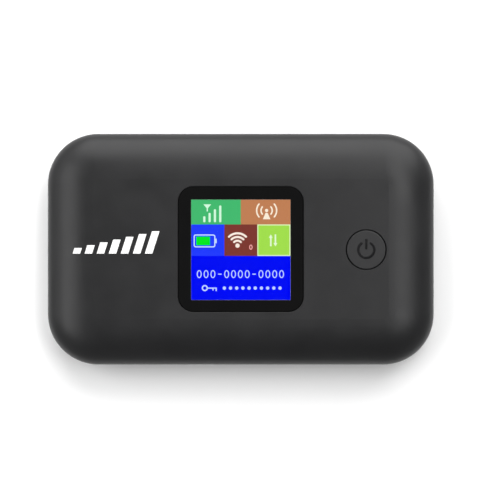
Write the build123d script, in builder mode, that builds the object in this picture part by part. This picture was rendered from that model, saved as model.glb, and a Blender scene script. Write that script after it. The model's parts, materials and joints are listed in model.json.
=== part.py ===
"""Pocket mobile hotspot: a battery-powered wireless router in a softly pillowed plastic case.

The hotspot lies on its back. +X runs along its long side, +Y towards the top of its display and +Z out of
its face. The origin is on the surface it lies on, under the middle of the case. Sizes are in millimetres.

From the bottom up: back cover, battery in its bay, mid frame, circuit board with its shield cans, display
module, front cover with its window and power button.
"""

from build123d import *

import os

os.makedirs("parts", exist_ok=True)

# ---- Case --------------------------------------------------------------------------------------
LENGTH = 97.0
WIDTH = 58.0
HEIGHT = 14.6
CORNER_R = 12.7
WALL = 1.5
EASE = 0.2  # general clearance between parts that don't touch
BACK_RIM_Z = 5.4  # the back cover's rim, under the seam
FRONT_RIM_Z = 5.6  # the front cover's rim, over the seam
FRONT_BEND_Z = 9.3  # where the upright side wall starts to bend over into the face
FRONT_BAND = 11.5  # how far in from the outline the face becomes flat
FRONT_INNER_Z = 12.6
FRONT_INNER_BAND = 10.3
RIB_ROOT = 0.2  # how far ribs and bosses run into the cover's skin
OPENING_CHAMFER = 0.1  # on the outside edges of the window and of the button's hole
BACK_WALL = 1.2
BACK_BAND = 8.0
BACK_INNER_BAND = 7.2

# ---- Mid frame ---------------------------------------------------------------------------------
FRAME_INSET = 2.4
FRAME_WALL = 1.0
FRAME_TOP_Z = 7.2
FRAME_BACK_Z = 1.6
FRAME_BAND = 6.4
FRAME_INNER_BAND = 5.6
BAY_X = (-35.4, 23.2)
BAY_Y = (-22.3, 22.3)
BAY_FLOOR_Z = 6.3
BAY_CORNER_R = 1.0
WELL_X = (28.0, 42.4)
WELL_Y = (-12.4, 16.8)
LIFT_NOTCH_R = 5.5  # the half-round notch for a fingertip beside the battery
LIFT_NOTCH_ROOF_Z = 4.4
LIFT_BLOCK_TOP_Z = 5.6
FRAME_RIBS_X = (-30.0, -10.0, 10.0)
FRAME_RIB = (1.2, 36.0)
BAY_LABEL_X = (-24.0, 12.0)
BAY_LABEL_Y = (-15.0, 15.0)
LABEL_T = 0.1

# ---- Circuit board -----------------------------------------------------------------------------
BOARD_Z = 7.9
BOARD_TOP_Z = 8.9
BOARD_SIZE = (86.0, 42.0)
BOARD_CORNER_R = 6.0
USB_TAB_WIDTH = 13.0
USB_TAB_Y = -25.5
SHIELD_TOP_Z = 10.2
SHIELD_WALL = 0.2
SHIELD_CORNER_R = 0.6
PIN_ONE_R = 0.3
PIN_ONE_INSET = 0.8
PIN_ONE_DEPTH = 0.05
MODEM_AT = (-6.0, 6.0)
MODEM_HEIGHT = 0.8
PAD_SIZE = 10.0
INDUCTOR = (2.5, 2.5, 1.2)
CAPACITOR = (1.0, 0.5, 0.5)
CAPACITOR_PITCH = (1.8, 1.4)

# ---- Display -----------------------------------------------------------------------------------
LENS_SIZE = 31.3
LENS_CORNER_R = 3.8
LENS_CHAMFER = 0.15
LENS_Z = 13.5
LENS_TOP_Z = 14.5
TAPE_Z = 13.3
TAPE_OPENING = (25.2, 25.6)  # what is left clear, just over the lit area
LEDGE_OPENING = (27.2, 27.6)
LENS_GAP = 0.1
LCD_SIZE = (29.4, 33.8)
LCD_BACK_Z = 10.45
LCD_GLASS_Z = 11.55
LCD_TOP_Z = 12.45
LCD_GAP = 0.15
LCD_RIB = 0.8
CUSHION = (3.0, 26.0)
CUSHION_PITCH = 20.0
FLEX_WIDTH = 12.0
FLEX_T = 0.14
FLEX_SLOT_WIDTH = 14.0
FLEX_SLOT_HEIGHT = 0.2
FLEX_IN_LCD = 0.9
FLEX_TURN_Y = -18.3
FLEX_Z = (9.4, LCD_GLASS_Z - 0.1)
LCD_SOCKET_WIDTH = 14.0
LCD_SOCKET_Y = (-17.1, -13.9)
LCD_SOCKET_TOP_Z = 9.9
LCD_SOCKET_MOUTH = (12.4, 0.6, 0.4)

# ---- Power button ------------------------------------------------------------------------------
BUTTON_AT = (31.4, -0.15)
BUTTON_R = 4.86
BUTTON_GAP = 0.22
BUTTON_TOP_Z = 14.55
BUTTON_ROUND = 0.2
BUTTON_FLANGE_R = 5.7
BUTTON_GUIDE_GAP = 0.2
BUTTON_FLANGE_Z = (11.75, 12.55)
BUTTON_STEM_R = 1.6
PLUNGER_R = 1.05
PLUNGER_Z = (9.9, 10.95)
PLUNGER_GAP = 0.08
SWITCH_SIZE = 4.6
SWITCH_FLOOR_Z = 9.2
SWITCH_TOP_Z = 10.4
ICON_R = 2.0
ICON_LINE = 0.62
ICON_GAP_ANGLE = 70.0  # the opening at the top of the ring
ICON_BAR = 2.65
ICON_BAR_Y = 1.45
ICON_DEPTH = 0.3
ICON_GAP = 0.02
ICON_PROUD = 0.1
ICON_ROUND = 0.06

# ---- Micro USB receptacle ----------------------------------------------------------------------
USB_AT = (0.0, -28.4, 7.75)  # the middle of its mouth
USB_WIDTH = 7.5
USB_HEIGHT = 2.5
USB_DEPTH = 5.0
USB_WALL = 0.25
USB_CLEARANCE = 0.3
USB_CUT = 1.0  # how far its lower corners are cut in
USB_CUT_BELOW = 0.35  # where the cut starts, under its middle
USB_CORNER_R = 0.4
USB_TONGUE = (4.6, 0.6)
USB_TONGUE_Z = USB_AT[2] + 0.3
USB_TONGUE_BACK = 0.7  # how far the tongue's tip stays behind the mouth
USB_BLOCK_DEPTH = 1.2
USB_CONTACT = (0.3, 2.6, 0.08)
USB_CONTACT_PITCH = 0.65

# ---- Fasteners, reset button and SIM -----------------------------------------------------------
CASE_SCREWS = [(x, y) for x in (-39.6, 39.6) for y in (-19.8, 19.8)]
BOSS_R = 2.0
POST_R = 2.4
SCREW_HEAD_R = 1.5
SCREW_HEAD_Z = (2.2, 3.1)
SCREW_SHANK_R = 0.78
SCREW_END_Z = 10.6
SCREW_GAP = 0.15
SCREW_CROSS = (1.6, 0.35, 0.45)  # length, width and depth of the cross slot
PILOT_R = 0.82
PILOT_END_Z = 11.2
BOARD_SCREWS = [(-40.0, -11.0), (33.0, 19.0)]
BOARD_POST_R = 1.7
BOARD_SCREW_HEAD_R = 1.3
BOARD_SCREW_HEAD = 0.6
BOARD_SCREW_R = 0.55
BOARD_SCREW_END_Z = 4.8
BOARD_SCREW_CROSS = (1.4, 0.3, 0.3)
BOARD_PILOT_R = 0.6
BOARD_PILOT_END_Z = 4.4
RESET_AT = (31.0, -17.0)
RESET_R = 0.9
RESET_FLANGE_R = 1.4
RESET_GAP = 0.09
RESET_Z = (1.9, 5.3, 5.9)  # its tip, the underside of its flange and its top
RESET_GUIDE_Z = 5.2
RESET_GUIDE_R = 2.0
RESET_PLUNGER_R = 0.6
RESET_PLUNGER_TOP_Z = 7.1
RESET_SWITCH_SIZE = 3.0
RESET_SWITCH_Z = (6.7, BOARD_Z)
RESET_CUP_TOP_Z = 7.7
SIM_X = 35.2
SIM_CARD = (12.0, 15.0, 0.76)
SIM_CARD_Z = 6.82
SIM_CARD_KEY = 1.8
SIM_CARD_R = 0.8
SIM_PROUD = 2.6  # how far the card stands out of its socket, for a fingernail
SIM_SOCKET_Y = (3.6, 16.4)
SIM_SOCKET_Z = (6.45, BOARD_Z)
SIM_SOCKET_HALF = 6.8
SIM_SOCKET_SKIN = 0.2
SIM_WINDOW = (1.6, 6.0)
SIM_WINDOW_PITCH = 6.6
SIM_BASE_Z = 7.68
SIM_CONTACT = (1.6, 1.0, 0.06)
SIM_CONTACT_PITCH = (2.54, 7.6)

# ---- Battery -----------------------------------------------------------------------------------
BATTERY_X = (-35.1, 22.9)
BATTERY_Y = (-22.0, 22.0)
BATTERY_Z = (1.55, 6.1)
BATTERY_CAP_X = 20.4
BATTERY_EDGE_R = 1.2
BATTERY_END_R = 0.5
BATTERY_LABEL = (50.0, 38.0, 1.5)  # length, width and corner radius
BATTERY_LABEL_T = 0.08
TERMINAL = (0.3, 1.5, 2.4)  # depth, width and height of one gold pad
TERMINAL_Z = 4.4
TERMINAL_SUNK = 0.1
CONTACT_Y = 10.5
CONTACT_PITCH = 2.3
CONTACT_COUNT = 4
CONTACT_BLOCK_X = (24.2, 27.0)
CONTACT_BLOCK_Z = (3.4, BOARD_Z)
CONTACT_BLOCK_WIDTH = 9.6
CONTACT_SLOT = (1.4, 1.1)
CONTACT_SLOT_Z = (3.7, 6.2)
BLADE_WIDTH = 0.8
BLADE_T = 0.15
BLADE_LINE = ((25.5, 6.0), (23.3, 5.0), (23.06, 4.5), (23.5, 4.0), (25.5, 3.9))  # x and z along one blade

# ---- Antennas ----------------------------------------------------------------------------------
CARRIER_Y = (21.6, 26.0)
CARRIER_TOP_Z = 10.0
CARRIER_R = 0.8
FOIL_T = 0.12
FOIL_WIDTH = 3.4
FOIL_INSET = 0.8
FOIL_SLOT = 0.6
FOIL_SLOT_LENGTH = 2.6
FOIL_BRIDGE = 0.5  # how far each slot is moved towards one side, in turn
SPRING_WIDTH = 1.2
SPRING_T = 0.12
SPRING_LINE = ((18.6, 0.06), (20.4, 0.06), (20.4, 0.9), (21.5, 1.2))  # from the middle, over the board

UPRIGHT = (Align.CENTER, Align.CENTER, Align.MIN)


def dome(inset, open_z, bend_z, face_z, band):
    """The case outline, moved in by inset, as a closed solid: upright from open_z to bend_z, then bending
    over along a quarter ellipse, band wide, to a flat face at face_z. It works upwards and downwards."""
    length, width, corner_r = LENGTH - 2 * inset, WIDTH - 2 * inset, CORNER_R - inset
    rise = face_z - bend_z
    with BuildSketch(Plane.XY.offset(bend_z)) as outline:
        RectangleRounded(length, width, corner_r)
    rim = outline.sketch.face().outer_wire()
    inward = Vector(0, 0, 1).cross(rim % 0)
    profile_plane = Plane(origin=rim @ 0, x_dir=inward, z_dir=inward.cross(Vector(0, 0, rise)))
    with BuildPart() as shape:
        with BuildSketch(profile_plane):
            with BuildLine():
                Line((band, 0), (0, 0))
                EllipticalCenterArc((band, 0), band, abs(rise), 180, arc_size=-90)
                Line((band, abs(rise)), (band, 0))
            make_face()
        sweep(path=rim)
        with BuildSketch(Plane.XY.offset(bend_z)):
            RectangleRounded(length - 2 * band, width - 2 * band, corner_r - band)
        extrude(amount=rise)
        if open_z != bend_z:
            with BuildSketch(Plane.XY.offset(open_z)):
                RectangleRounded(length, width, corner_r)
            extrude(amount=bend_z - open_z)
    return shape.part


def block(x_span, y_span, z_span, mode=Mode.ADD):
    """A box between these limits, in the part being built."""
    low, high = zip(x_span, y_span, z_span)
    with Locations(low):
        Box(*(b - a for a, b in zip(low, high)), align=(Align.MIN,) * 3, mode=mode)


def post(centre, radius, z_span, mode=Mode.ADD):
    """An upright cylinder between two heights, in the part being built."""
    with Locations((*centre, z_span[0])):
        Cylinder(radius, z_span[1] - z_span[0], align=UPRIGHT, mode=mode)


def around(centre, half):
    """The span from half under to half over the centre."""
    return (centre - half, centre + half)


def grown(span, by):
    return (span[0] - by, span[1] + by)


def cross_slot(centre, size, top_z):
    """Cuts a cross into a screw head, in the part being built. Size is length, width and depth."""
    length, width, depth = size
    for x_side, y_side in ((length, width), (width, length)):
        x_span = around(centre[0], x_side / 2)
        y_span = around(centre[1], y_side / 2)
        block(x_span, y_span, (top_z - depth, top_z), mode=Mode.SUBTRACT)


def finish(piece, name):
    """Labels a finished piece and writes its file."""
    piece.part.label = name
    export_step(piece.part, f"parts/{name}.step")


def usb_outline(grow=0.0):
    """The receptacle's section, with its lower corners cut off, grown outwards by grow."""
    half, top, low = USB_WIDTH / 2, USB_HEIGHT / 2, -USB_HEIGHT / 2
    with BuildSketch() as section:
        with BuildLine():
            Polyline(
                (-half, top), (half, top), (half, -USB_CUT_BELOW), (half - USB_CUT, low),
                (USB_CUT - half, low), (-half, -USB_CUT_BELOW), close=True,
            )
        make_face()
        fillet(section.vertices(), USB_CORNER_R)
        offset(amount=grow, kind=Kind.ARC)
    return section.sketch


# ---- Back cover --------------------------------------------------------------------------------
HOOK_LENGTH = 5.0
HOOK_INSET = (1.65, 2.15)
HOOK_FOOT_INSET = 0.9
HOOK_Z = (3.6, 5.3, 6.6)  # the bottom of its foot, the top of its foot and the top of its tongue
HOOKS_ALONG_X = (-27.0, 27.0)
HOOKS_ALONG_Y = (-9.0, 9.0)
NAIL_NOTCH_R = 6.0
NAIL_NOTCH_IN = 0.8  # how far it cuts into the wall
NAIL_NOTCH_HEIGHT = 1.1

back_outer = dome(0, BACK_RIM_Z, BACK_RIM_Z, 0, BACK_BAND)
back_inner = dome(BACK_WALL, BACK_RIM_Z, BACK_RIM_Z, BACK_WALL, BACK_INNER_BAND)


def hook(along, side, axis):
    """A snap hook on the back cover's rim: a foot in the wall and a thin tongue standing over it."""
    half_case = (WIDTH if axis == "x" else LENGTH) / 2
    tongue_out, tongue_in = (half_case - inset for inset in HOOK_INSET)
    spans = (
        ((half_case - HOOK_FOOT_INSET, tongue_in), HOOK_Z[:2]),
        ((tongue_out, tongue_in), HOOK_Z[1:]),
    )
    for across, z_span in spans:
        across = tuple(sorted(side * value for value in across))
        along_span = around(along, HOOK_LENGTH / 2)
        if axis == "x":
            block(along_span, across, z_span)
        else:
            block(across, along_span, z_span)


with BuildPart() as back_cover:
    add(back_outer)
    add(back_inner, mode=Mode.SUBTRACT)
    for side in (-1, 1):
        for along in HOOKS_ALONG_X:
            hook(along, side, "x")
        for along in HOOKS_ALONG_Y:
            hook(along, side, "y")
    # a fingernail notch in the rim, in the middle of the right-hand side
    notch_centre = (LENGTH / 2 + NAIL_NOTCH_R - NAIL_NOTCH_IN, 0)
    post(notch_centre, NAIL_NOTCH_R, (BACK_RIM_Z - NAIL_NOTCH_HEIGHT, HEIGHT), mode=Mode.SUBTRACT)
finish(back_cover, "back_cover")

# ---- Front cover -------------------------------------------------------------------------------
front_outer = dome(0, FRONT_RIM_Z, FRONT_BEND_Z, HEIGHT, FRONT_BAND)
front_inner = dome(WALL, FRONT_RIM_Z, FRONT_BEND_Z, FRONT_INNER_Z, FRONT_INNER_BAND)
lens_pocket = LENS_SIZE + 2 * LENS_GAP
lcd_pocket = [side + 2 * LCD_GAP for side in LCD_SIZE]
guide_r = BUTTON_FLANGE_R + BUTTON_GUIDE_GAP
rooted_z = FRONT_INNER_Z + RIB_ROOT

with BuildPart() as front_cover:
    add(front_outer)
    add(front_inner, mode=Mode.SUBTRACT)
    for centre in CASE_SCREWS:
        post(centre, BOSS_R, (FRAME_TOP_Z, rooted_z))
    # a frame of ribs that holds the display, left open for its flex
    with BuildSketch(Plane.XY.offset(LCD_BACK_Z)):
        Rectangle(*(side + 2 * LCD_RIB for side in lcd_pocket))
        Rectangle(*lcd_pocket, mode=Mode.SUBTRACT)
        with Locations((0, -lcd_pocket[1] / 2)):
            Rectangle(FLEX_SLOT_WIDTH, 4 * LCD_RIB, mode=Mode.SUBTRACT)
    extrude(amount=rooted_z - LCD_BACK_Z)
    # a ring that guides the power button's flange
    with BuildSketch(Plane.XY.offset(BUTTON_FLANGE_Z[0])):
        with Locations(BUTTON_AT):
            Circle(guide_r + LCD_RIB)
            Circle(guide_r, mode=Mode.SUBTRACT)
    extrude(amount=rooted_z - BUTTON_FLANGE_Z[0])
    # the window: a pocket for the lens, and a smaller opening through the ledge under it
    with BuildSketch(Plane.XY.offset(TAPE_Z)):
        RectangleRounded(lens_pocket, lens_pocket, LENS_CORNER_R + LENS_GAP)
    extrude(amount=HEIGHT - TAPE_Z, mode=Mode.SUBTRACT)
    with BuildSketch(Plane.XY.offset(FRONT_INNER_Z)):
        Rectangle(*LEDGE_OPENING)
    extrude(amount=HEIGHT - FRONT_INNER_Z, mode=Mode.SUBTRACT)
    post(BUTTON_AT, BUTTON_R + BUTTON_GAP, (FRONT_INNER_Z, HEIGHT), mode=Mode.SUBTRACT)
    chamfer(front_cover.faces().sort_by(Axis.Z)[-1].inner_wires().edges(), OPENING_CHAMFER)
    for centre in CASE_SCREWS:
        post(centre, PILOT_R, (FRAME_TOP_Z, PILOT_END_Z), mode=Mode.SUBTRACT)
    # the cut-out for the USB receptacle, through the lower side wall
    with BuildSketch(Plane(origin=(0, -WIDTH / 2, USB_AT[2]), x_dir=(1, 0, 0), z_dir=(0, -1, 0))):
        add(usb_outline(USB_CLEARANCE))
    extrude(amount=-2 * WALL, mode=Mode.SUBTRACT)
finish(front_cover, "front_cover")

# ---- Mid frame ---------------------------------------------------------------------------------
frame_outer = dome(FRAME_INSET, FRAME_TOP_Z, BACK_RIM_Z, FRAME_BACK_Z, FRAME_BAND)
frame_inner = dome(
    FRAME_INSET + FRAME_WALL, FRAME_TOP_Z, BACK_RIM_Z, FRAME_BACK_Z + FRAME_WALL, FRAME_INNER_BAND
)
with BuildPart(mode=Mode.PRIVATE) as frame_skin:
    add(frame_outer)
    add(frame_inner, mode=Mode.SUBTRACT)


full_depth = (FRAME_BACK_Z, FRAME_TOP_Z)
lift_block_x = (BAY_X[0] - FRAME_WALL - LIFT_NOTCH_R, BAY_X[0])
contact_window_x = (BAY_X[1] - FRAME_WALL, CONTACT_BLOCK_X[0])
contact_window_y = grown(around(CONTACT_Y, CONTACT_BLOCK_WIDTH / 2), EASE)
contact_window_z = (CONTACT_BLOCK_Z[0] - EASE, BAY_FLOOR_Z)
usb_notch_x = around(0, USB_WIDTH / 2 + USB_CLEARANCE)
usb_notch_z = (USB_AT[2] - USB_HEIGHT / 2 - EASE, FRAME_TOP_Z)

with BuildPart() as mid_frame:
    # solid blocks for the battery bay, the SIM well, the finger notch and the posts
    block(grown(BAY_X, FRAME_WALL), grown(BAY_Y, FRAME_WALL), full_depth)
    block(grown(WELL_X, FRAME_WALL), grown(WELL_Y, FRAME_WALL), full_depth)
    block(lift_block_x, around(0, LIFT_NOTCH_R + FRAME_WALL), (FRAME_BACK_Z, LIFT_BLOCK_TOP_Z))
    for centre in CASE_SCREWS:
        post(centre, POST_R, full_depth)
    post(RESET_AT, RESET_GUIDE_R, (FRAME_BACK_Z, RESET_GUIDE_Z))
    add(frame_outer, mode=Mode.INTERSECT)
    add(frame_skin.part)
    # the battery bay, its finger notch and its window for the contacts
    block(BAY_X, BAY_Y, (0, BAY_FLOOR_Z), mode=Mode.SUBTRACT)
    post((BAY_X[0], 0), LIFT_NOTCH_R, (0, LIFT_NOTCH_ROOF_Z), mode=Mode.SUBTRACT)
    block(contact_window_x, contact_window_y, contact_window_z, mode=Mode.SUBTRACT)
    # the SIM well goes right through, to the circuit board
    block(WELL_X, WELL_Y, (0, FRAME_TOP_Z), mode=Mode.SUBTRACT)
    for centre in CASE_SCREWS:
        post(centre, SCREW_HEAD_R + SCREW_GAP, (0, SCREW_HEAD_Z[1]), mode=Mode.SUBTRACT)
        post(centre, SCREW_SHANK_R + SCREW_GAP, (0, FRAME_TOP_Z), mode=Mode.SUBTRACT)
    post(RESET_AT, RESET_R + RESET_GAP, (0, RESET_GUIDE_Z), mode=Mode.SUBTRACT)
    # a notch in the rim under the USB receptacle
    block(usb_notch_x, (-WIDTH / 2, BAY_Y[0] - FRAME_WALL), usb_notch_z, mode=Mode.SUBTRACT)
    # posts for the circuit board's screws, rooted in the floor
    for centre in BOARD_SCREWS:
        post(centre, BOARD_POST_R, (FRAME_BACK_Z + FRAME_WALL / 2, BOARD_Z))
        post(centre, BOARD_PILOT_R, (BOARD_PILOT_END_Z, BOARD_Z), mode=Mode.SUBTRACT)
    # low ribs on the bay's roof that the circuit board rests on
    for x in FRAME_RIBS_X:
        block(around(x, FRAME_RIB[0] / 2), around(0, FRAME_RIB[1] / 2), (FRAME_TOP_Z, BOARD_Z))
    bay_corners = mid_frame.edges().filter_by(Axis.Z).filter_by(
        lambda edge: abs(abs(edge.center().Y) - BAY_Y[1]) < 0.01 and edge.length > 3
    )
    fillet(bay_corners, BAY_CORNER_R)
finish(mid_frame, "mid_frame")

with BuildPart() as bay_label:
    block(BAY_LABEL_X, BAY_LABEL_Y, (BAY_FLOOR_Z - LABEL_T, BAY_FLOOR_Z))
finish(bay_label, "bay_label")

# ---- Window and display ------------------------------------------------------------------------
with BuildPart() as display_lens:
    with BuildSketch(Plane.XY.offset(LENS_Z)):
        RectangleRounded(LENS_SIZE, LENS_SIZE, LENS_CORNER_R)
    extrude(amount=LENS_TOP_Z - LENS_Z)
    chamfer(display_lens.edges().group_by(Axis.Z)[-1], LENS_CHAMFER)
finish(display_lens, "display_lens")

with BuildPart() as lens_tape:
    with BuildSketch(Plane.XY.offset(TAPE_Z)):
        RectangleRounded(LENS_SIZE, LENS_SIZE, LENS_CORNER_R)
        Rectangle(*TAPE_OPENING, mode=Mode.SUBTRACT)
    extrude(amount=LENS_Z - TAPE_Z)
finish(lens_tape, "lens_tape")

GASKET_OUTSIDE = (LCD_SIZE[0] - 0.2, LCD_SIZE[1] - 3.0)
with BuildPart() as dust_gasket:
    with BuildSketch(Plane.XY.offset(LCD_TOP_Z)):
        Rectangle(*GASKET_OUTSIDE)
        Rectangle(*(side + 2 * EASE for side in LEDGE_OPENING), mode=Mode.SUBTRACT)
    extrude(amount=FRONT_INNER_Z - LCD_TOP_Z)
finish(dust_gasket, "dust_gasket")

with BuildPart() as lcd_glass:
    with BuildSketch(Plane.XY.offset(LCD_GLASS_Z)):
        Rectangle(*LCD_SIZE)
    extrude(amount=LCD_TOP_Z - LCD_GLASS_Z)
finish(lcd_glass, "lcd_glass")

with BuildPart() as lcd_backlight:
    with BuildSketch(Plane.XY.offset(LCD_BACK_Z)):
        Rectangle(*LCD_SIZE)
    extrude(amount=LCD_GLASS_Z - LCD_BACK_Z)
    # the flex leaves through a slot in the lower edge
    slot_x = around(0, FLEX_WIDTH / 2 + EASE)
    slot_y = (-LCD_SIZE[1] / 2, -LCD_SIZE[1] / 2 + FLEX_IN_LCD + EASE)
    block(slot_x, slot_y, (LCD_GLASS_Z - FLEX_SLOT_HEIGHT, LCD_GLASS_Z), mode=Mode.SUBTRACT)
finish(lcd_backlight, "lcd_backlight")

with BuildPart() as lcd_cushion:
    with BuildSketch(Plane.XY.offset(SHIELD_TOP_Z)):
        with GridLocations(CUSHION_PITCH, 0, 2, 1):
            Rectangle(*CUSHION)
    extrude(amount=LCD_BACK_Z - SHIELD_TOP_Z)
finish(lcd_cushion, "lcd_cushion")

flex_turn_r = (FLEX_Z[1] - FLEX_Z[0]) / 2
with BuildPart() as lcd_flex:
    with BuildSketch(Plane.YZ.offset(-FLEX_WIDTH / 2)):
        with BuildLine() as flex_line:
            Line((FLEX_IN_LCD - LCD_SIZE[1] / 2, FLEX_Z[1]), (FLEX_TURN_Y, FLEX_Z[1]))
            CenterArc((FLEX_TURN_Y, FLEX_Z[0] + flex_turn_r), flex_turn_r, 90, 180)
            Line((FLEX_TURN_Y, FLEX_Z[0]), (LCD_SOCKET_Y[0], FLEX_Z[0]))
        trace(line_width=FLEX_T)
    extrude(amount=FLEX_WIDTH)
finish(lcd_flex, "lcd_flex")

with BuildPart() as lcd_connector:
    block(around(0, LCD_SOCKET_WIDTH / 2), LCD_SOCKET_Y, (BOARD_TOP_Z, LCD_SOCKET_TOP_Z))
    mouth_x, mouth_depth, mouth_height = LCD_SOCKET_MOUTH
    mouth_y = (LCD_SOCKET_Y[0], LCD_SOCKET_Y[0] + mouth_depth)
    block(around(0, mouth_x / 2), mouth_y, around(FLEX_Z[0], mouth_height / 2), mode=Mode.SUBTRACT)
finish(lcd_connector, "lcd_connector")


# ---- Power button and its switch ---------------------------------------------------------------
def icon_sketch(line_width):
    """The power symbol: an open ring with a bar standing in the opening."""
    with BuildSketch() as symbol:
        with BuildLine(mode=Mode.PRIVATE) as ring:
            CenterArc((0, 0), ICON_R, 90 + ICON_GAP_ANGLE / 2, 360 - ICON_GAP_ANGLE)
        SlotArc(ring.line.edge(), line_width)
        with Locations((0, ICON_BAR_Y)):
            SlotOverall(ICON_BAR + line_width - ICON_LINE, line_width, rotation=90)
    return symbol.sketch


icon_floor_z = BUTTON_TOP_Z - ICON_DEPTH
with BuildPart() as power_button:
    post(BUTTON_AT, BUTTON_R, (BUTTON_FLANGE_Z[1], BUTTON_TOP_Z))
    fillet(power_button.edges().group_by(Axis.Z)[-1], BUTTON_ROUND)
    post(BUTTON_AT, BUTTON_FLANGE_R, BUTTON_FLANGE_Z)
    post(BUTTON_AT, BUTTON_STEM_R, (PLUNGER_Z[1], BUTTON_FLANGE_Z[0]))
    with BuildSketch(Plane.XY.offset(icon_floor_z)):
        with Locations(BUTTON_AT):
            add(icon_sketch(ICON_LINE + 2 * ICON_GAP))
    extrude(amount=ICON_DEPTH, mode=Mode.SUBTRACT)
finish(power_button, "power_button")

with BuildPart() as power_icon:
    with BuildSketch(Plane.XY.offset(icon_floor_z)):
        with Locations(BUTTON_AT):
            add(icon_sketch(ICON_LINE))
    extrude(amount=ICON_DEPTH + ICON_PROUD)
    fillet(power_icon.edges().group_by(Axis.Z)[-1], ICON_ROUND)
finish(power_icon, "power_icon")

with BuildPart() as power_switch:
    block(
        around(BUTTON_AT[0], SWITCH_SIZE / 2), around(BUTTON_AT[1], SWITCH_SIZE / 2),
        (BOARD_TOP_Z, SWITCH_TOP_Z),
    )
    post(BUTTON_AT, PLUNGER_R + PLUNGER_GAP, (SWITCH_FLOOR_Z, SWITCH_TOP_Z), mode=Mode.SUBTRACT)
finish(power_switch, "power_switch")

with BuildPart() as power_plunger:
    post(BUTTON_AT, PLUNGER_R, PLUNGER_Z)
finish(power_plunger, "power_plunger")

# ---- Reset button and its switch ---------------------------------------------------------------
with BuildPart() as reset_button:
    post(RESET_AT, RESET_R, RESET_Z[:2])
    post(RESET_AT, RESET_FLANGE_R, RESET_Z[1:])
finish(reset_button, "reset_button")

with BuildPart() as reset_plunger:
    post(RESET_AT, RESET_PLUNGER_R, (RESET_Z[2], RESET_PLUNGER_TOP_Z))
finish(reset_plunger, "reset_plunger")

with BuildPart() as reset_switch:
    switch_x, switch_y = (around(middle, RESET_SWITCH_SIZE / 2) for middle in RESET_AT)
    block(switch_x, switch_y, RESET_SWITCH_Z)
    cup_z = (RESET_SWITCH_Z[0], RESET_CUP_TOP_Z)
    post(RESET_AT, RESET_PLUNGER_R + PLUNGER_GAP, cup_z, mode=Mode.SUBTRACT)
finish(reset_switch, "reset_switch")

# ---- Circuit board -----------------------------------------------------------------------------
with BuildPart() as main_board:
    with BuildSketch(Plane.XY.offset(BOARD_Z)):
        RectangleRounded(*BOARD_SIZE, BOARD_CORNER_R)
        tab_y = (USB_TAB_Y - BOARD_SIZE[1] / 2) / 2
        with Locations((0, tab_y)):
            Rectangle(USB_TAB_WIDTH, -USB_TAB_Y - BOARD_SIZE[1] / 2)
        # the receptacle sits in a notch in the tab
        notch_depth = USB_AT[1] + USB_DEPTH - USB_TAB_Y + EASE
        with Locations((0, USB_TAB_Y)):
            Rectangle(USB_WIDTH + 2 * EASE, 2 * notch_depth, mode=Mode.SUBTRACT)
        with Locations(*CASE_SCREWS):
            Circle(BOSS_R + 2 * EASE, mode=Mode.SUBTRACT)
        with Locations(*BOARD_SCREWS):
            Circle(BOARD_SCREW_R + EASE, mode=Mode.SUBTRACT)
    extrude(amount=BOARD_TOP_Z - BOARD_Z)
finish(main_board, "main_board")


def can(name, centre, size):
    """A stamped shield can, open underneath, standing on the board."""
    with BuildPart() as shield:
        block(around(centre[0], size[0] / 2), around(centre[1], size[1] / 2), (BOARD_TOP_Z, SHIELD_TOP_Z))
        fillet(shield.edges().filter_by(Axis.Z), SHIELD_CORNER_R)
        inner = [side / 2 - SHIELD_WALL for side in size]
        block(
            around(centre[0], inner[0]), around(centre[1], inner[1]),
            (BOARD_TOP_Z, SHIELD_TOP_Z - SHIELD_WALL), mode=Mode.SUBTRACT,
        )
    finish(shield, name)


def chip(name, centre, size, height):
    """A packaged chip on the board, with a pin-one dimple."""
    with BuildPart() as package:
        top_z = BOARD_TOP_Z + height
        block(around(centre[0], size[0] / 2), around(centre[1], size[1] / 2), (BOARD_TOP_Z, top_z))
        dimple = (centre[0] - size[0] / 2 + PIN_ONE_INSET, centre[1] + size[1] / 2 - PIN_ONE_INSET)
        post(dimple, PIN_ONE_R, (top_z - PIN_ONE_DEPTH, top_z), mode=Mode.SUBTRACT)
    finish(package, name)


can("modem_shield", (0.0, 0.0), (25.0, 27.0))
can("radio_shield", (-28.5, 1.0), (20.0, 30.0))
can("wifi_shield", (21.0, 11.5), (11.0, 13.0))
chip("modem_chip", MODEM_AT, (11.0, 11.0), MODEM_HEIGHT)
chip("memory_chip", (5.5, 6.0), (8.0, 9.0), 0.9)
chip("power_chip", (5.0, -5.5), (6.0, 6.0), 0.8)
chip("radio_chip", (-29.0, 6.0), (7.0, 7.0), 0.8)
chip("amplifier_chip", (-29.0, -6.0), (5.0, 6.5), 0.9)
chip("wifi_chip", (21.0, 11.5), (6.0, 6.0), 0.8)

with BuildPart() as thermal_pad:
    pad_x, pad_y = (around(middle, PAD_SIZE / 2) for middle in MODEM_AT)
    block(pad_x, pad_y, (BOARD_TOP_Z + MODEM_HEIGHT, SHIELD_TOP_Z - SHIELD_WALL))
finish(thermal_pad, "thermal_pad")

with BuildPart() as board_inductors:
    for centre in ((18.5, -7.0), (22.5, -7.0), (18.5, -11.5), (22.5, -11.5)):
        with Locations((*centre, BOARD_TOP_Z)):
            Box(*INDUCTOR, align=UPRIGHT)
    fillet(board_inductors.edges().filter_by(Axis.Z), INDUCTOR[0] / 4)
finish(board_inductors, "board_inductors")

with BuildPart() as board_capacitors:
    for centre, columns, rows in (((36.5, -10.0), 4, 4), ((-12.0, -15.6), 3, 2), ((24.5, 1.0), 2, 3)):
        with Locations((*centre, BOARD_TOP_Z)):
            with GridLocations(*CAPACITOR_PITCH, columns, rows):
                Box(*CAPACITOR, align=UPRIGHT)
finish(board_capacitors, "board_capacitors")

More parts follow.
